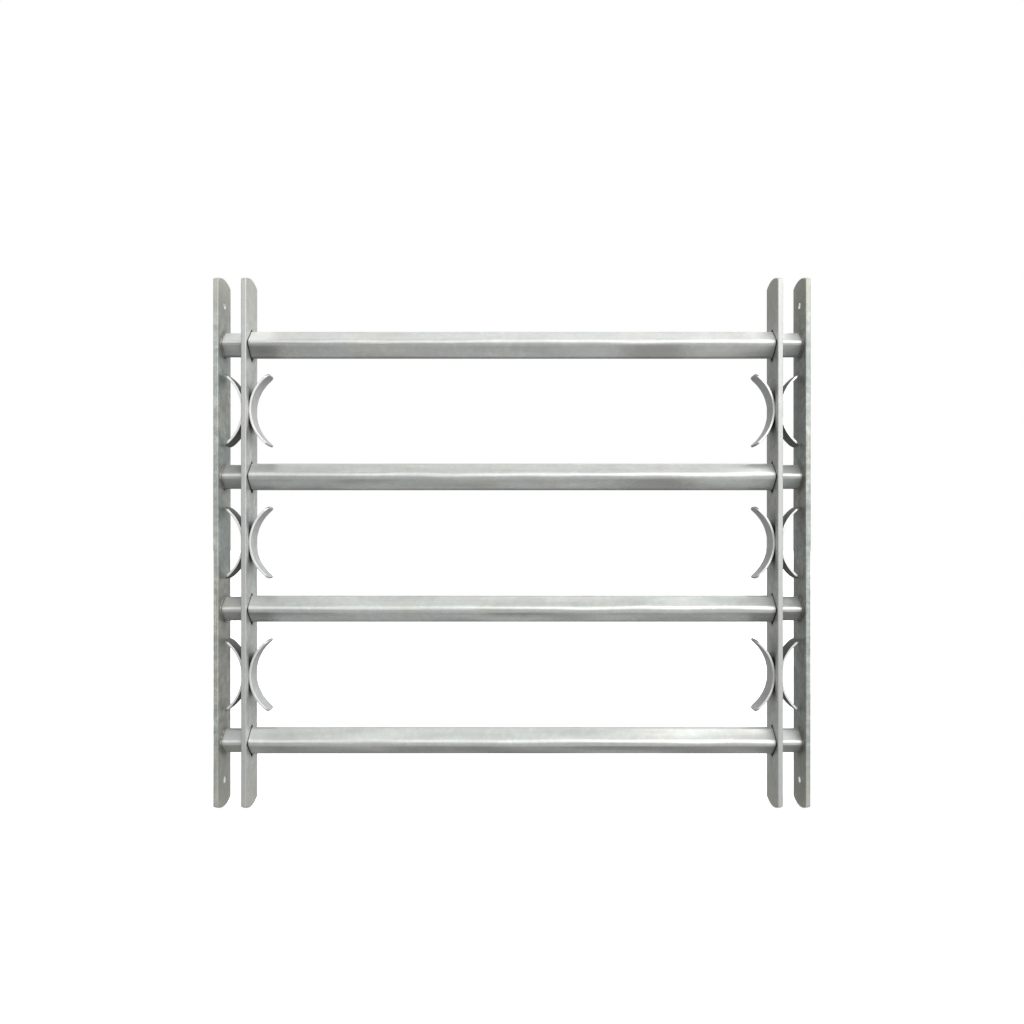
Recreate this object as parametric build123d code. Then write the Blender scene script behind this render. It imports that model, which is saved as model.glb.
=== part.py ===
from build123d import *
import math
import os

# Width-adjustable window grille in galvanised steel, pushed fully together.
# Four centre tubes stand on their corners. Smaller tubes, welded to two side posts, telescope in
# them. Two ornamental posts with welded arcs slide along the centre tubes.
# Millimetres. +X right, +Y depth, away from the front, +Z up. The origin is the grille's centre.

os.makedirs("parts", exist_ok=True)

# ---- Driving dimensions ----
ROW_COUNT = 4
ROW_PITCH = 150.0

CENTRE_TUBE_LENGTH = 600.0
CENTRE_TUBE_SIDE = 25.0
CENTRE_TUBE_CORNER_RADIUS = 6.0
TUBE_WALL = 1.2

# The inner tube leaves this gap to the centre tube's bore all round.
TELESCOPE_GAP = 0.3
# Distance between the left and right inner tubes' ends when the grille is pushed together.
INNER_TUBE_END_GAP = 11.0

POST_HEIGHT = 600.0
POST_WIDTH = 40.0
POST_THICKNESS = 6.0
POST_END_RADIUS = 40.0
POST_EDGE_RADIUS = 1.0
# Distance from the grille's centre to the inner face of each kind of post.
SIDE_POST_FACE_X = 327.5
ORNAMENT_POST_FACE_X = 296.5

SCREW_HOLE_DIAMETER = 6.5
SCREW_HOLE_SPACING = 540.0
SCREW_HOLE_CHAMFER = 0.5

# The ornamental posts' diamond holes are this much larger than the centre tubes on every side,
# and their corners are sharper than the tubes'.
POST_HOLE_GAP = 0.9
POST_HOLE_CORNER_RADIUS = 1.5
# Each ornamental post hangs on the tubes, so its holes sit this much lower than the tubes.
POST_SAG = 0.6

ARC_COUNT = 3
ARC_CHORD = 82.0
ARC_SAGITTA = 21.5
ARC_THICKNESS = 2.5
ARC_WIDTH = 22.0
ARC_TIP_RADIUS = 6.0
ARC_RIM_RADIUS = 0.4
# Depth by which each arc's back is pressed flat against the post where it is welded.
ARC_WELD_FLAT_DEPTH = 0.1

WELD_LEG_ON_POST = 2.2
WELD_LEG_ON_TUBE = 2.2
WELD_TOE = 0.4

# ---- Derived sizes ----
CENTRE_TUBE_END_X = CENTRE_TUBE_LENGTH / 2
CENTRE_TUBE_BORE_SIDE = CENTRE_TUBE_SIDE - 2 * TUBE_WALL
CENTRE_TUBE_BORE_RADIUS = CENTRE_TUBE_CORNER_RADIUS - TUBE_WALL
INNER_TUBE_SIDE = CENTRE_TUBE_BORE_SIDE - 2 * TELESCOPE_GAP
INNER_TUBE_CORNER_RADIUS = CENTRE_TUBE_BORE_RADIUS - TELESCOPE_GAP
INNER_TUBE_FREE_END_X = INNER_TUBE_END_GAP / 2
ARC_RADIUS = ((ARC_CHORD / 2) ** 2 + ARC_SAGITTA**2) / (2 * ARC_SAGITTA)
ARC_HALF_ANGLE = math.asin(ARC_CHORD / 2 / ARC_RADIUS)

row_heights = [(ROW_COUNT - 1) / 2 * ROW_PITCH - row * ROW_PITCH for row in range(ROW_COUNT)]
arc_heights = [(ARC_COUNT - 1) / 2 * ROW_PITCH - arc * ROW_PITCH for arc in range(ARC_COUNT)]
sides = {"left": -1, "right": 1}


def diamond(x, side, corner_radius):
    """A rounded square standing on one corner, in the plane across the tubes at x."""
    across = Plane(origin=(x, 0, 0), x_dir=(0, 1, 0), z_dir=(1, 0, 0))
    return across * Rot(0, 0, 45) * RectangleRounded(side, side, corner_radius)


def diamond_bar(x_start, x_end, side, corner_radius):
    """A solid bar of that section from x_start to x_end."""
    return extrude(diamond(x_start, side, corner_radius), amount=x_end - x_start)


def square_tube(x_start, x_end, side, corner_radius):
    """A tube on its corner, along X at height 0."""
    outside = diamond_bar(x_start, x_end, side, corner_radius)
    bore = diamond_bar(x_start, x_end, side - 2 * TUBE_WALL, corner_radius - TUBE_WALL)
    return outside - bore


def flat_post(face_x, direction):
    """A flat bar on end with rounded ends; its inner face is at face_x."""
    half_width = POST_WIDTH / 2
    end_rise = POST_END_RADIUS - math.sqrt(POST_END_RADIUS**2 - half_width**2)
    top = POST_HEIGHT / 2
    shoulder = top - end_rise
    outline = make_face(
        [
            Line((half_width, -shoulder), (half_width, shoulder)),
            ThreePointArc((half_width, shoulder), (0, top), (-half_width, shoulder)),
            Line((-half_width, shoulder), (-half_width, -shoulder)),
            ThreePointArc((-half_width, -shoulder), (0, -top), (half_width, -shoulder)),
        ]
    )
    low_x = min(face_x, face_x + direction * POST_THICKNESS)
    across = Plane(origin=(low_x, 0, 0), x_dir=(0, 1, 0), z_dir=(1, 0, 0))
    bar = extrude(across * outline, amount=POST_THICKNESS)
    face_edges = bar.faces().sort_by(Axis.X)[0].edges() + bar.faces().sort_by(Axis.X)[-1].edges()
    return fillet(face_edges, POST_EDGE_RADIUS)


def side_post(direction):
    """The wall post with its screw holes."""
    post = flat_post(direction * SIDE_POST_FACE_X, direction)
    middle_x = direction * (SIDE_POST_FACE_X + POST_THICKNESS / 2)
    for hole_height in (-SCREW_HOLE_SPACING / 2, SCREW_HOLE_SPACING / 2):
        drill = Cylinder(SCREW_HOLE_DIAMETER / 2, 2 * POST_THICKNESS, rotation=(0, 90, 0))
        post -= Pos(middle_x, 0, hole_height) * drill
    circles = post.edges().filter_by(GeomType.CIRCLE)
    hole_rims = circles.filter_by(lambda edge: abs(edge.radius - SCREW_HOLE_DIAMETER / 2) < 0.01)
    return chamfer(hole_rims, SCREW_HOLE_CHAMFER)


def ornament_post(direction):
    """The sliding post with a diamond hole for each tube."""
    post = flat_post(direction * ORNAMENT_POST_FACE_X, direction)
    middle_x = direction * (ORNAMENT_POST_FACE_X + POST_THICKNESS / 2)
    hole_side = CENTRE_TUBE_SIDE + 2 * POST_HOLE_GAP
    punch_ends = (middle_x - POST_THICKNESS, middle_x + POST_THICKNESS)
    punch = diamond_bar(*punch_ends, hole_side, POST_HOLE_CORNER_RADIUS)
    for height in row_heights:
        post -= Pos(0, 0, height - POST_SAG) * punch
    return post


def arc_point(radius, angle):
    """A point of the arc's section, from the middle of its back; angle 0 is the middle."""
    return (ARC_RADIUS - radius * math.cos(angle), radius * math.sin(angle))


def ornament_arc():
    """A bent strip whose back touches the plane X = 0 at height 0 and whose tips point to +X."""
    back = ARC_RADIUS
    front = ARC_RADIUS - ARC_THICKNESS
    tip = ARC_HALF_ANGLE
    section = make_face(
        [
            ThreePointArc(arc_point(back, -tip), arc_point(back, 0), arc_point(back, tip)),
            Line(arc_point(back, tip), arc_point(front, tip)),
            ThreePointArc(arc_point(front, tip), arc_point(front, 0), arc_point(front, -tip)),
            Line(arc_point(front, -tip), arc_point(back, -tip)),
        ]
    )
    strip = extrude(Plane.XZ * section, amount=ARC_WIDTH / 2, both=True)
    tip_edges = strip.edges().filter_by(lambda edge: abs(edge.length - ARC_THICKNESS) < 0.01)
    strip = fillet(tip_edges, ARC_TIP_RADIUS)
    broad_faces = strip.faces().sort_by(SortBy.AREA)[-2:]
    strip = fillet(broad_faces.edges(), ARC_RIM_RADIUS)
    pressed = Box(2 * ARC_WELD_FLAT_DEPTH, 2 * ARC_WIDTH, ARC_CHORD)
    return Pos(-ARC_WELD_FLAT_DEPTH, 0, 0) * (strip - pressed)


def tube_weld(direction):
    """The fillet weld round an inner tube at height 0, on the side post's inner face."""
    post_x = direction * SIDE_POST_FACE_X
    toe_x = post_x - direction * WELD_LEG_ON_TUBE
    side, radius = INNER_TUBE_SIDE, INNER_TUBE_CORNER_RADIUS
    root = diamond(post_x, side + 2 * WELD_LEG_ON_POST, radius + WELD_LEG_ON_POST)
    toe = diamond(toe_x, side + 2 * WELD_TOE, radius + WELD_TOE)
    bead = loft([root, toe])
    return bead - diamond_bar(min(post_x, toe_x) - 1, max(post_x, toe_x) + 1, side, radius)


def save(name, shape):
    export_step(shape, f"parts/{name}.step")


# ---- Centre tubes ----
centre_tube = square_tube(
    -CENTRE_TUBE_END_X, CENTRE_TUBE_END_X, CENTRE_TUBE_SIDE, CENTRE_TUBE_CORNER_RADIUS
)
for row, height in enumerate(row_heights, start=1):
    save(f"centre_tube_{row}", Pos(0, 0, height) * centre_tube)

# ---- Side frames: post, inner tubes and their welds ----
for side_name, direction in sides.items():
    save(f"{side_name}_side_post", side_post(direction))
    tube_ends = sorted([direction * INNER_TUBE_FREE_END_X, direction * SIDE_POST_FACE_X])
    inner_tube = square_tube(*tube_ends, INNER_TUBE_SIDE, INNER_TUBE_CORNER_RADIUS)
    for row, height in enumerate(row_heights, start=1):
        save(f"{side_name}_inner_tube_{row}", Pos(0, 0, height) * inner_tube)
    weld = tube_weld(direction)
    beads = Compound(children=[Pos(0, 0, height) * weld for height in row_heights])
    save(f"{side_name}_tube_welds", beads)

# ---- Ornamental posts and their arcs ----
inward_arc = ornament_arc()
for side_name, direction in sides.items():
    save(f"{side_name}_ornament_post", ornament_post(direction))
    inner_face = direction * ORNAMENT_POST_FACE_X
    outer_face = direction * (ORNAMENT_POST_FACE_X + POST_THICKNESS)
    facings = {"inner": (inner_face, -direction), "outer": (outer_face, direction)}
    for facing, (face_x, points_to) in facings.items():
        turned = inward_arc if points_to > 0 else mirror(inward_arc, about=Plane.YZ)
        for number, height in enumerate(arc_heights, start=1):
            save(f"{side_name}_{facing}_arc_{number}", Pos(face_x, 0, height) * turned)
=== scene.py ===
import math

import bpy
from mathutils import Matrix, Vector, noise


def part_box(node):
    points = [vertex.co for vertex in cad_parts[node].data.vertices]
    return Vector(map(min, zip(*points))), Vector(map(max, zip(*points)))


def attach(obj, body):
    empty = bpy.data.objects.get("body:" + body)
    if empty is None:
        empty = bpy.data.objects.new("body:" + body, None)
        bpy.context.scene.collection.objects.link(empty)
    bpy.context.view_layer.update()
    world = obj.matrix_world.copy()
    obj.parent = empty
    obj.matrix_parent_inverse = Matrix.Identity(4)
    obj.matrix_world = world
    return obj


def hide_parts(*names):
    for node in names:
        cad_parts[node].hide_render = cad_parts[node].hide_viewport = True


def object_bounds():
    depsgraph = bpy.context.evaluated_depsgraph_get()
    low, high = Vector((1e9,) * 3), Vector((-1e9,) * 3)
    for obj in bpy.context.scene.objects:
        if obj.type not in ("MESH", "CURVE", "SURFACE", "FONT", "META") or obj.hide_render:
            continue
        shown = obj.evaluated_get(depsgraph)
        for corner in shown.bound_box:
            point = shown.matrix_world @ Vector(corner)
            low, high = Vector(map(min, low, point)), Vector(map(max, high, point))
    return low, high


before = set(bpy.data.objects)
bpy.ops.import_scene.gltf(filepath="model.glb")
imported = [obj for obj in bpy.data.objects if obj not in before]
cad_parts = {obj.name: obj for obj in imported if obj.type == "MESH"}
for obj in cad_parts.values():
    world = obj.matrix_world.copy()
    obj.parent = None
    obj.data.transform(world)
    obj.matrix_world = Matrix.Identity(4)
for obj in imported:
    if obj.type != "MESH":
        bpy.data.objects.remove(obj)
cad_low, cad_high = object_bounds()
centre = (cad_low + cad_high) / 2
scene = bpy.context.scene

# ---- Camera: level, square to the grille, a little under a metre in front ----
CAMERA_DISTANCE = 0.920
CAMERA_LENS_MM = 28.37
CAMERA_SENSOR_MM = 36.0
CAMERA_SHIFT_Y = 0.030


def add_object(name, data):
    made = bpy.data.objects.new(name, data)
    scene.collection.objects.link(made)
    return made


camera_data = bpy.data.cameras.new("camera")
camera_data.lens = CAMERA_LENS_MM
camera_data.sensor_width = CAMERA_SENSOR_MM
camera_data.shift_y = CAMERA_SHIFT_Y
camera = add_object("camera", camera_data)
camera.location = (centre.x, centre.y - CAMERA_DISTANCE, centre.z)
camera.rotation_euler = (math.radians(90), 0, 0)
scene.camera = camera

scene.view_settings.view_transform = "Standard"


# ---- Node helpers ----
class Tree:
    """A node tree with short calls for adding nodes and joining sockets."""

    def __init__(self, tree):
        self.tree = tree
        tree.nodes.clear()

    def set_input(self, socket, value):
        if isinstance(value, bpy.types.NodeSocket):
            self.tree.links.new(value, socket)
        else:
            socket.default_value = value

    def node(self, kind, inputs=None, **settings):
        made = self.tree.nodes.new(kind)
        for name, value in settings.items():
            setattr(made, name, value)
        for name, value in (inputs or {}).items():
            self.set_input(made.inputs[name], value)
        return made

    def math(self, operation, *values):
        return self.node("ShaderNodeMath", dict(enumerate(values)), operation=operation).outputs[0]

    def scaled(self, coordinates, scale, shift=(0, 0, 0)):
        made = self.node("ShaderNodeMapping", {"Vector": coordinates, "Scale": scale, "Location": shift})
        return made.outputs[0]

    def noise(self, coordinates, detail=3.0, roughness=0.5):
        inputs = {"Vector": coordinates, "Scale": 1.0, "Detail": detail, "Roughness": roughness}
        return self.node("ShaderNodeTexNoise", inputs).outputs["Fac"]

    def even_noise(self, coordinates, scale, shift=(0, 0, 0), detail=3.0):
        """Noise of the same scale along each axis, in 1/m."""
        return self.noise(self.scaled(coordinates, (scale, scale, scale), shift), detail)

    def span(self, value, low, high, to_low=0.0, to_high=1.0):
        """value from low to high becomes to_low to to_high, clamped and smooth."""
        inputs = {"Value": value, "From Min": low, "From Max": high, "To Min": to_low, "To Max": to_high}
        made = self.node("ShaderNodeMapRange", inputs, interpolation_type="SMOOTHSTEP")
        return made.outputs["Result"]

    def mix(self, factor, first, second, blend="MIX"):
        made = self.node("ShaderNodeMix", data_type="RGBA", blend_type=blend)
        for index, value in ((0, factor), (6, first), (7, second)):
            self.set_input(made.inputs[index], value)
        return made.outputs[2]

    def fade(self, factor, first, second):
        made = self.node("ShaderNodeMix", data_type="FLOAT")
        for index, value in ((0, factor), (2, first), (3, second)):
            self.set_input(made.inputs[index], value)
        return made.outputs[0]

    def bump(self, height, distance, normal=None):
        inputs = {"Height": height, "Distance": distance}
        if normal is not None:
            inputs["Normal"] = normal
        return self.node("ShaderNodeBump", inputs).outputs["Normal"]

    def axes(self, coordinates):
        return self.node("ShaderNodeSeparateXYZ", {"Vector": coordinates}).outputs


# ---- World: white behind the object; in reflections, a dim room with soft lights round it ----
# Each glow is a direction to look in, how far it spreads in degrees, and its brightness there.
ROOM_TONE = 0.1
ROOM_GLOWS = [
    ((-0.55, 0.10, 0.83), 50, 0.66),
    ((0.00, 0.10, 1.00), 45, 0.15),
    ((0.55, 0.10, 0.83), 50, 1.06),
    ((0.00, 0.65, 0.76), 45, 0.50),
    ((0.00, -0.85, 0.50), 50, 1.30),
    ((0.50, -0.60, 0.62), 50, 0.80),
    ((-0.60, -0.80, 0.00), 45, 0.08),
    ((0.00, -1.00, 0.05), 40, 0.16),
    ((0.55, -0.75, -0.35), 40, 0.50),
    ((0.60, -0.66, 0.52), 40, 2.10),
    ((0.60, 0.80, 0.00), 45, 0.55),
    ((0.50, 0.75, 0.43), 40, 0.30),
    ((-0.60, 0.80, 0.00), 45, 0.20),
    ((-0.45, 0.80, -0.40), 35, 0.10),
    ((0.00, 0.93, -0.35), 35, 0.13),
    ((0.00, -0.55, -0.83), 45, 0.59),
    ((0.60, -0.10, -0.80), 40, 0.42),
    ((0.00, 0.30, -0.95), 45, 0.13),
    ((-1.00, 0.00, 0.00), 50, 0.62),
    ((1.00, 0.00, 0.00), 50, 0.43),
]

world = bpy.data.worlds.new("studio")
scene.world = world
world.use_nodes = True
sky = Tree(world.node_tree)
looking = sky.node("ShaderNodeTexCoord").outputs["Generated"]
brightness = ROOM_TONE
for toward, spread, radiance in ROOM_GLOWS:
    directions = {0: looking, 1: Vector(toward).normalized()}
    facing = sky.node("ShaderNodeVectorMath", directions, operation="DOT_PRODUCT")
    glow = sky.span(facing.outputs["Value"], math.cos(math.radians(spread)), 1.0, 0.0, radiance)
    brightness = sky.math("ADD", brightness, glow)
room = sky.node("ShaderNodeBackground", {"Color": (1.0, 1.0, 1.0, 1), "Strength": brightness})
backdrop = sky.node("ShaderNodeBackground", {"Color": (1, 1, 1, 1), "Strength": 1.0})
seen = sky.node("ShaderNodeLightPath").outputs["Is Camera Ray"]
both = sky.node("ShaderNodeMixShader", {0: seen, 1: room.outputs[0], 2: backdrop.outputs[0]})
sky.node("ShaderNodeOutputWorld", {"Surface": both.outputs[0]})

# ---- Floor ----
FLOOR_SIZE = 60.0
FLOOR_DROP = 0.0003
bpy.ops.mesh.primitive_plane_add(size=FLOOR_SIZE, location=(0, 0, cad_low.z - FLOOR_DROP))
floor = bpy.context.object
floor.name = "floor"
floor.visible_glossy = False
floor.visible_diffuse = False
floor_material = bpy.data.materials.new("floor_paper")
floor_material.use_nodes = True
paper = Tree(floor_material.node_tree)
paper_shader = paper.node(
    "ShaderNodeBsdfPrincipled",
    {
        "Base Color": (0.9, 0.9, 0.9, 1),
        "Roughness": 0.9,
        "Emission Color": (1, 1, 1, 1),
        "Emission Strength": 0.62,
    },
)
paper.node("ShaderNodeOutputMaterial", {"Surface": paper_shader.outputs[0]})
floor.data.materials.append(floor_material)

# ---- Sizes shared by the marks and the weld beads, in metres ----
row_heights = [
    (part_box(f"centre_tube_{row}")[0].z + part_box(f"centre_tube_{row}")[1].z) / 2
    for row in (1, 2, 3, 4)
]
ROW_PITCH = row_heights[0] - row_heights[1]
SIDE_POST_FACE_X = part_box("right_side_post")[0].x
ORNAMENT_POST_FACE_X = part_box("right_ornament_post")[0].x
INNER_TUBE_CORNER = 0.0045
inner_tube_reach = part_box("right_inner_tube_1")[1].y
INNER_TUBE_HALF_SIDE = (inner_tube_reach - INNER_TUBE_CORNER) / math.sqrt(2) + INNER_TUBE_CORNER
CENTRE_TUBE_CORNER = 0.006
centre_tube_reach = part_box("centre_tube_1")[1].y
CENTRE_TUBE_HALF_SIDE = (centre_tube_reach - CENTRE_TUBE_CORNER) / math.sqrt(2) + CENTRE_TUBE_CORNER
DIAMOND_HOLE_GAP = 0.0009
DIAMOND_HOLE_CORNER = 0.0015
POST_SAG = 0.0006
SCREW_HOLE_RADIUS = 0.00325
SCREW_HOLE_HEIGHT = 0.270
ARC_HALF_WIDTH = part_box("right_inner_arc_1")[1].y
ARC_RADIUS = 0.0498
INNER_ARC_AXIS_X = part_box("right_inner_arc_1")[1].x - ARC_RADIUS
OUTER_ARC_AXIS_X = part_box("right_outer_arc_1")[0].x + ARC_RADIUS
TOP_ARC_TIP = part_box("right_outer_arc_1")[1].z
POST_HALF_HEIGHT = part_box("right_side_post")[1].z
POST_HALF_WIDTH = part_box("right_side_post")[1].y


# ---- Marks: where a surface differs, each as (mask, colour, roughness) ----
def above_nearest(tree, height, level):
    """How far a height is above the nearest height that is whole row pitches away from level."""
    shifted = tree.math("ADD", height, ROW_PITCH / 2 - level)
    return tree.math("SUBTRACT", tree.math("FLOORED_MODULO", shifted, ROW_PITCH), ROW_PITCH / 2)


def diamond_distance(tree, place, half_side, corner, sag=0.0):
    """How far a point is outside the nearest rounded diamond of that size round a tube's axis."""
    axes = tree.axes(place)
    from_row = above_nearest(tree, axes["Z"], row_heights[0] - sag)
    squares = 0.0
    for operation in ("ADD", "SUBTRACT"):
        across = tree.math("DIVIDE", tree.math(operation, axes["Y"], from_row), math.sqrt(2))
        past_flat = tree.math("SUBTRACT", tree.math("ABSOLUTE", across), half_side - corner)
        past_flat = tree.math("MAXIMUM", past_flat, 0.0)
        squares = tree.math("MULTIPLY_ADD", past_flat, past_flat, squares)
    return tree.math("SUBTRACT", tree.math("SQRT", squares), corner)


def uneven(tree, place, distance, amount):
    """The distance, made uneven by up to about half the amount either way."""
    wander = tree.even_noise(place, 260, detail=2.0)
    return tree.math("ADD", distance, tree.math("MULTIPLY_ADD", wander, amount, -amount / 2))


def on_inner_face(tree, place):
    """1 on the side posts' inner faces, which the tubes are welded to, and 0 behind them."""
    out = tree.math("ABSOLUTE", tree.axes(place)["X"])
    return tree.span(out, SIDE_POST_FACE_X + 0.0012, SIDE_POST_FACE_X + 0.0022, 1.0, 0.0)


def shaded_hole_walls(tree, place):
    """Painted shade: the sheared walls of the ornamental posts' diamond holes, made dark and dull to
    stand for the shadow in the gap round each tube.
    """
    half_side = CENTRE_TUBE_HALF_SIDE + DIAMOND_HOLE_GAP
    outside = diamond_distance(tree, place, half_side, DIAMOND_HOLE_CORNER, POST_SAG)
    mask = tree.span(outside, 0.0001, 0.0004, 1.0, 0.0)
    return mask, (0.06, 0.062, 0.06, 1), 0.6


def weld_heat_on_post(tree, place):
    """Dulled zinc round the tube welds."""
    outside = diamond_distance(tree, place, INNER_TUBE_HALF_SIDE, INNER_TUBE_CORNER)
    near = tree.span(uneven(tree, place, outside, 0.004), 0.002, 0.007, 0.5, 0.0)
    mask = tree.math("MULTIPLY", near, on_inner_face(tree, place))
    return mask, (0.27, 0.265, 0.25, 1), 0.55


def weld_heat_on_tube(tree, place):
    """Dulled zinc on the last few millimetres of the inner tubes."""
    out = uneven(tree, place, tree.math("ABSOLUTE", tree.axes(place)["X"]), 0.003)
    mask = tree.span(out, SIDE_POST_FACE_X - 0.005, SIDE_POST_FACE_X, 0.0, 0.5)
    return mask, (0.32, 0.315, 0.30, 1), 0.5


def on_tops(tree, place, other_rows, top_row):
    """A mask of the tubes' upper flats, stronger in the top row than in the other rows."""
    height = tree.axes(place)["Z"]
    on_top = tree.span(above_nearest(tree, height, row_heights[0]), 0.001, 0.004)
    amount = tree.span(height, row_heights[1] + 0.03, row_heights[0] - 0.03, other_rows, top_row)
    return tree.math("MULTIPLY", on_top, amount)


def sheen_and_rubbing_near_posts(tree, place):
    """Painted highlight, with some rubbing wear: brighter tops near the centre tubes' ends, where the
    ornamental posts hang, much stronger in the top row, which reflects more of the light above.
    """
    out = uneven(tree, place, tree.math("ABSOLUTE", tree.axes(place)["X"]), 0.01)
    worn = tree.span(out, ORNAMENT_POST_FACE_X - 0.040, ORNAMENT_POST_FACE_X - 0.006)
    mask = tree.math("MULTIPLY", worn, on_tops(tree, place, 0.2, 0.75))
    return mask, (0.92, 0.92, 0.91, 1), 0.36


def painted_sheen_on_inner_tubes(tree, place):
    """Painted highlight: brighter tops on the inner tubes, which slide in the centre tubes, almost only
    in the top row.
    """
    return on_tops(tree, place, 0.05, 0.9), (0.93, 0.935, 0.93, 1), 0.34


# Each patch is its row, the place of its middle along the tube, and half its length.
DARK_LOWER_PATCHES = [
    (1, 0.161, 0.055),
    (2, 0.163, 0.060),
    (4, 0.235, 0.080),
    (3, -0.285, 0.025),
    (1, -0.280, 0.030),
]


def dark_lower_patches(tree, place):
    """Darker, duller patches on the lower flats of some centre tubes."""
    axes = tree.axes(place)
    mask = 0.0
    for row, middle, half_length in DARK_LOWER_PATCHES:
        along = tree.math("ABSOLUTE", tree.math("SUBTRACT", axes["X"], middle))
        from_row = tree.math("ABSOLUTE", tree.math("SUBTRACT", axes["Z"], row_heights[row - 1]))
        dull = tree.span(uneven(tree, place, along, 0.03), 0.2 * half_length, half_length, 0.7, 0.0)
        in_row = tree.span(from_row, 0.3 * ROW_PITCH, 0.4 * ROW_PITCH, 1.0, 0.0)
        mask = tree.math("MULTIPLY_ADD", dull, in_row, mask)
    up = above_nearest(tree, axes["Z"], row_heights[0])
    mask = tree.math("MULTIPLY", mask, tree.span(up, -0.004, -0.001, 1.0, 0.0))
    return mask, (0.32, 0.32, 0.31, 1), 0.42


def shaded_tube_ends(tree, place):
    """Painted shade: a dark, dull band on the centre tubes' ends, which fill the posts' holes at rest,
    standing in for the shadow in the gap between each tube and its hole.
    """
    out = tree.math("ABSOLUTE", tree.axes(place)["X"])
    mask = tree.span(out, ORNAMENT_POST_FACE_X - 0.0010, ORNAMENT_POST_FACE_X - 0.0004, 0.0, 0.9)
    return mask, (0.05, 0.05, 0.048, 1), 0.6


def painted_shadow_under_tubes(tree, place):
    """Painted shadow: dark, dull zinc on a post just under each tube, where the tube's shadow falls."""
    outside = diamond_distance(tree, place, CENTRE_TUBE_HALF_SIDE, CENTRE_TUBE_CORNER)
    near = tree.span(uneven(tree, place, outside, 0.006), 0.0, 0.009, 0.6, 0.0)
    up = above_nearest(tree, tree.axes(place)["Z"], row_heights[0])
    mask = tree.math("MULTIPLY", near, tree.span(up, -0.006, 0.002, 1.0, 0.0))
    return mask, (0.20, 0.205, 0.20, 1), 0.5


def painted_shadow_under_tubes_inside(tree, place):
    """The same painted shadow, on the side posts' inner faces only."""
    mask, colour, roughness = painted_shadow_under_tubes(tree, place)
    return tree.math("MULTIPLY", mask, on_inner_face(tree, place)), colour, roughness


def weathered_ends(tree, place):
    """Duller, olive zinc towards the ends of the posts."""
    from_middle = uneven(tree, place, tree.math("ABSOLUTE", tree.axes(place)["Z"]), 0.05)
    mask = tree.span(from_middle, POST_HALF_HEIGHT - 0.09, POST_HALF_HEIGHT - 0.01, 0.0, 0.65)
    return mask, (0.44, 0.445, 0.385, 1), 0.46


def sheared_edges(tree, place):
    """The posts' long narrow edges, a little duller than their faces."""
    off_middle = tree.math("ABSOLUTE", tree.axes(place)["Y"])
    mask = tree.span(off_middle, POST_HALF_WIDTH - 0.0009, POST_HALF_WIDTH - 0.0003, 0.0, 0.8)
    return mask, (0.45, 0.455, 0.445, 1), 0.42


def painted_shade_behind_arcs(tree, place):
    """Painted shade: dark, dull zinc on the ornamental posts, in the narrow gaps behind the arcs, where
    shade falls.
    """
    axes = tree.axes(place)
    from_arc = tree.math("ABSOLUTE", above_nearest(tree, axes["Z"], 0.0))
    off_middle = tree.math("ABSOLUTE", axes["Y"])
    height = tree.math("ABSOLUTE", axes["Z"])
    near = tree.span(uneven(tree, place, from_arc, 0.006), 0.014, 0.028, 0.95, 0.0)
    behind = tree.span(off_middle, ARC_HALF_WIDTH - 0.002, ARC_HALF_WIDTH + 0.002, 1.0, 0.0)
    past_last = tree.span(height, TOP_ARC_TIP, TOP_ARC_TIP + 0.002, 1.0, 0.0)
    mask = tree.math("MULTIPLY", near, tree.math("MULTIPLY", behind, past_last))
    return mask, (0.03, 0.03, 0.029, 1), 0.6


def painted_light_in_screw_holes(tree, place):
    """Painted light: near-white, bright walls of the screw holes, where light reaches into them."""
    axes = tree.axes(place)
    up = tree.math("SUBTRACT", tree.math("ABSOLUTE", axes["Z"]), SCREW_HOLE_HEIGHT)
    squares = tree.math("MULTIPLY_ADD", axes["Y"], axes["Y"], tree.math("MULTIPLY", up, up))
    outside = tree.math("SUBTRACT", tree.math("SQRT", squares), SCREW_HOLE_RADIUS)
    mask = tree.span(outside, 0.0002, 0.0006, 1.0, 0.0)
    return mask, (0.95, 0.95, 0.94, 1), 0.5


def shaded_arc_backs(axis_x):
    """Painted shade: the backs of the arcs bent round axis_x, made dark and dull where they face the
    posts across narrow gaps.
    """

    def mark(tree, place):
        axes = tree.axes(place)
        up = above_nearest(tree, axes["Z"], 0.0)
        along = tree.math("SUBTRACT", tree.math("ABSOLUTE", axes["X"]), axis_x)
        squares = tree.math("MULTIPLY_ADD", along, along, tree.math("MULTIPLY", up, up))
        mask = tree.span(tree.math("SQRT", squares), ARC_RADIUS - 0.0012, ARC_RADIUS - 0.0003)
        return mask, (0.15, 0.155, 0.15, 1), 0.55

    return mark


def arc_edges(tree, place):
    """The arcs' sheared long edges, brighter than their faces: partly the bare sheared steel, partly a
    painted highlight.
    """
    off_middle = tree.math("ABSOLUTE", tree.axes(place)["Y"])
    mask = tree.span(off_middle, ARC_HALF_WIDTH - 0.0005, ARC_HALF_WIDTH - 0.0002)
    return mask, (0.74, 0.74, 0.73, 1), 0.34


# ---- Zinc materials ----
# Below 1, because hot-dipped zinc also scatters part of the light.
ZINC_METALLIC = 0.65


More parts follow.
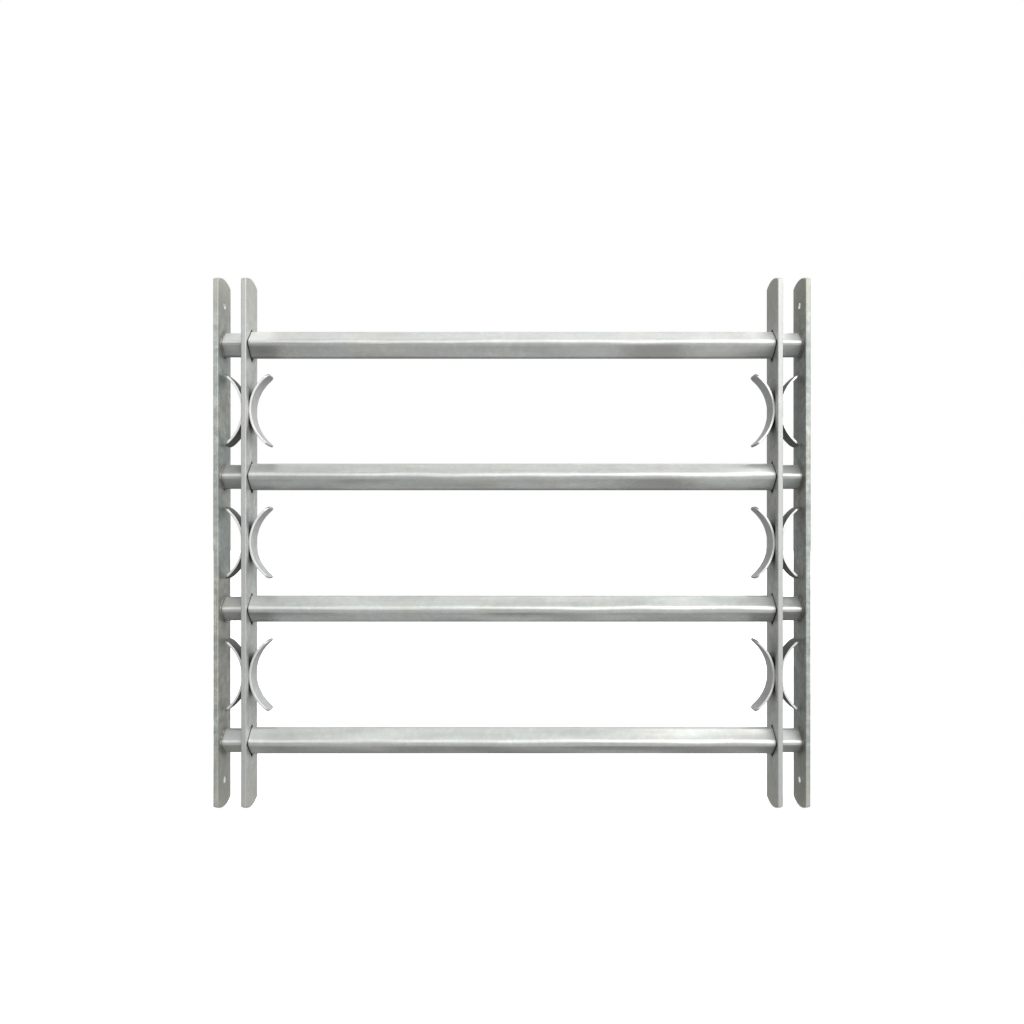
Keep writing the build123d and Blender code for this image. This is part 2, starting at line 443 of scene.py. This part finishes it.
def zinc(
    name,
    colour,
    roughness,
    grain,
    waves,
    streak_depth,
    tint_depth,
    polish=0.02,
    wave_height=0.0012,
    marks=(),
):
    """Galvanised steel, with rolling marks, wavy flats, zinc flakes, tints and patches of polish.

    grain and waves are noise scales along each axis, in 1/m, and wave_height is in metres. The depths
    and polish say how far the shade, tint and roughness vary."""
    material = bpy.data.materials.new(name)
    material.use_nodes = True
    tree = Tree(material.node_tree)
    place = tree.node("ShaderNodeTexCoord").outputs["Object"]
    streaks = tree.noise(tree.scaled(place, grain), detail=4.0, roughness=0.6)
    patches = tree.noise(tree.scaled(place, waves, (5, 1, 8)), detail=2.0)
    tints = tree.even_noise(place, 17, (9, 2, 5), detail=1.0)
    blotches = tree.even_noise(place, 38, (3, 7, 1))
    clouds = tree.even_noise(place, 130, (2, 4, 6))
    mottle = tree.even_noise(place, 330, detail=2.0)
    specks = tree.even_noise(place, 900, detail=2.0)
    flake_place = tree.scaled(place, (150, 150, 150))
    cells = tree.node("ShaderNodeTexVoronoi", {"Vector": flake_place, "Scale": 1.0})
    flakes = tree.axes(cells.outputs["Color"])["X"]

    plain = colour + (1,)
    dark = tuple((1 - streak_depth) * c for c in colour) + (1,)
    light = tuple((1 + 0.5 * streak_depth) * c for c in colour) + (1,)
    shade = tree.math("MULTIPLY", tree.math("ADD", streaks, clouds), 0.5)
    base = tree.mix(tree.span(shade, 0.36, 0.64), dark, light)
    base = tree.mix(tree.span(blotches, 0.35, 0.7, 0, 0.5), base, dark)
    base = tree.mix(tree.span(mottle, 0.4, 0.65, 0, 0.5), base, dark)
    base = tree.mix(tree.math("MULTIPLY", flakes, 0.2), base, plain)
    cool = tree.mix(tint_depth, base, (0.94, 1.0, 0.98, 1), "MULTIPLY")
    warm = tree.mix(tint_depth, base, (1.0, 1.0, 0.92, 1), "MULTIPLY")
    base = tree.mix(tree.span(tints, 0.46, 0.68), cool, warm)

    rough = tree.math("ADD", roughness - 0.06, tree.math("MULTIPLY", streaks, 0.12))
    rough = tree.math("ADD", rough, tree.math("MULTIPLY", flakes, 0.04))
    rough = tree.math("ADD", rough, tree.span(patches, 0.3, 0.7, -polish, polish))
    for mark in marks:
        mask, mark_colour, mark_roughness = mark(tree, place)
        base = tree.mix(mask, base, mark_colour)
        rough = tree.fade(mask, rough, mark_roughness)

    normal = tree.bump(tree.noise(tree.scaled(place, waves), detail=1.0), wave_height)
    normal = tree.bump(streaks, 0.00003, normal)
    normal = tree.bump(specks, 0.000008, normal)

    shader = tree.node(
        "ShaderNodeBsdfPrincipled",
        {"Base Color": base, "Metallic": ZINC_METALLIC, "Roughness": rough, "Normal": normal},
    )
    tree.node("ShaderNodeOutputMaterial", {"Surface": shader.outputs[0]})
    return material


TUBE_GRAIN = (9, 700, 700)
TUBE_WAVES = (9, 30, 30)
POST_GRAIN = (1100, 1100, 9)
POST_WAVES = (40, 40, 9)
ARC_GRAIN = (700, 700, 60)
ARC_WAVES = (40, 40, 40)
WELD_GRAIN = (500, 500, 500)
WELD_WAVES = (300, 300, 300)
centre_tube_zinc = zinc(
    "centre_tube_zinc",
    (0.55, 0.555, 0.545),
    roughness=0.36,
    grain=TUBE_GRAIN,
    waves=TUBE_WAVES,
    streak_depth=0.12,
    tint_depth=0.45,
    polish=0.05,
    wave_height=0.0055,
    marks=[dark_lower_patches, sheen_and_rubbing_near_posts, shaded_tube_ends],
)
inner_tube_zinc = zinc(
    "inner_tube_zinc",
    (0.55, 0.555, 0.55),
    roughness=0.33,
    grain=TUBE_GRAIN,
    waves=TUBE_WAVES,
    streak_depth=0.12,
    tint_depth=0.5,
    polish=0.04,
    wave_height=0.002,
    marks=[painted_sheen_on_inner_tubes, weld_heat_on_tube],
)
side_post_zinc = zinc(
    "side_post_zinc",
    (0.46, 0.465, 0.45),
    roughness=0.44,
    grain=POST_GRAIN,
    waves=POST_WAVES,
    streak_depth=0.42,
    tint_depth=0.9,
    polish=0.03,
    marks=[weathered_ends, painted_shadow_under_tubes_inside, weld_heat_on_post, painted_light_in_screw_holes],
)
ornament_post_zinc = zinc(
    "ornament_post_zinc",
    (0.60, 0.605, 0.595),
    roughness=0.42,
    grain=POST_GRAIN,
    waves=POST_WAVES,
    streak_depth=0.32,
    tint_depth=0.6,
    polish=0.03,
    marks=[weathered_ends, painted_shadow_under_tubes, painted_shade_behind_arcs, shaded_hole_walls, sheared_edges],
)
inner_arc_zinc = zinc(
    "inner_arc_zinc",
    (0.55, 0.555, 0.55),
    roughness=0.44,
    grain=ARC_GRAIN,
    waves=ARC_WAVES,
    streak_depth=0.18,
    tint_depth=0.4,
    polish=0.03,
    marks=[shaded_arc_backs(INNER_ARC_AXIS_X), arc_edges],
)
outer_arc_zinc = zinc(
    "outer_arc_zinc",
    (0.50, 0.505, 0.50),
    roughness=0.46,
    grain=ARC_GRAIN,
    waves=ARC_WAVES,
    streak_depth=0.18,
    tint_depth=0.4,
    polish=0.03,
    marks=[shaded_arc_backs(OUTER_ARC_AXIS_X), arc_edges],
)
weld_zinc = zinc(
    "weld_zinc",
    (0.30, 0.295, 0.28),
    roughness=0.42,
    grain=WELD_GRAIN,
    waves=WELD_WAVES,
    streak_depth=0.4,
    tint_depth=0.5,
)

node_materials = {
    "centre_tube": centre_tube_zinc,
    "inner_tube": inner_tube_zinc,
    "side_post": side_post_zinc,
    "ornament_post": ornament_post_zinc,
    "inner_arc": inner_arc_zinc,
    "outer_arc": outer_arc_zinc,
    "welds": weld_zinc,
}
for node_name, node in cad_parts.items():
    kind = next(kind for kind in node_materials if kind in node_name)
    node.data.materials.clear()
    node.data.materials.append(node_materials[kind])

# ---- Weld beads, in metres; the depths are shares of the bead's size ----
BEAD_LEG = 0.0017
BEAD_SINK = 0.00015
BEAD_STEP = 0.0003
RIPPLE_PITCH = 0.0017
RIPPLE_DEPTH = 0.10
WOBBLE_PITCH = 0.006
WOBBLE_DEPTH = 0.16
BEAD_SECTION_STEPS = 9


def diamond_outline(half_side, corner):
    """Evenly spaced points round a rounded square on its corner, each with its outward direction."""
    flat = half_side - corner
    outline = []
    for quarter in range(4):
        turn = math.radians(45 + 90 * quarter)
        along = Vector((math.cos(turn), math.sin(turn)))
        outward = Vector((along.y, -along.x))
        flat_steps = round(2 * flat / BEAD_STEP)
        for step in range(flat_steps):
            forward = (step / flat_steps * 2 - 1) * flat
            outline.append((outward * half_side + along * forward, outward))
        arc_steps = round(corner * math.pi / 2 / BEAD_STEP)
        hub = (outward + along) * flat
        for step in range(arc_steps):
            swing = math.radians(90) * step / arc_steps
            direction = outward * math.cos(swing) + along * math.sin(swing)
            outline.append((hub + direction * corner, direction))
    return outline


def bead_size(distance, seed):
    """How large the bead is at a distance round the tube: a weld's ripples and uneven hand."""
    ripple = (distance / RIPPLE_PITCH) % 1.0
    wobble = noise.noise(Vector((distance / WOBBLE_PITCH, seed, 0.0)))
    return 1 - RIPPLE_DEPTH * (2 * ripple - 1) ** 2 - WOBBLE_DEPTH * max(0.0, wobble)


def add_bead(vertices, faces, direction, height, seed):
    """One closed bead round the inner tube at a height, in the corner it makes with the side post."""
    outline = diamond_outline(INNER_TUBE_HALF_SIDE, INNER_TUBE_CORNER)
    first = len(vertices)
    for index, (point, outward) in enumerate(outline):
        size = bead_size(index * BEAD_STEP, seed) * BEAD_LEG
        section = [(-BEAD_SINK, -BEAD_SINK), (-BEAD_SINK, size)]
        for step in range(BEAD_SECTION_STEPS):
            swing = math.radians(90) * step / (BEAD_SECTION_STEPS - 1)
            section.append((size * math.sin(swing), size * math.cos(swing)))
        section.append((size, -BEAD_SINK))
        for off_tube, off_post in section:
            place = point + outward * off_tube
            vertices.append((direction * (SIDE_POST_FACE_X - off_post), place.x, height + place.y))
    count = BEAD_SECTION_STEPS + 3
    for index in range(len(outline)):
        here = first + index * count
        beyond = first + (index + 1) % len(outline) * count
        for corner in range(count):
            following = (corner + 1) % count
            face = (here + corner, here + following, beyond + following, beyond + corner)
            faces.append(face if direction < 0 else face[::-1])


for side_name, direction in (("left", -1), ("right", 1)):
    vertices, faces = [], []
    for row, height in enumerate(row_heights):
        add_bead(vertices, faces, direction, height, row + 10 * direction)
    bead_mesh = bpy.data.meshes.new(f"{side_name}_weld_beads")
    bead_mesh.from_pydata(vertices, [], faces)
    bead_mesh.shade_smooth()
    bead_mesh.materials.append(weld_zinc)
    beads = add_object(f"{side_name}_weld_beads", bead_mesh)
    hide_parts(f"{side_name}_tube_welds")
    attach(beads, f"{side_name}_side_frame")
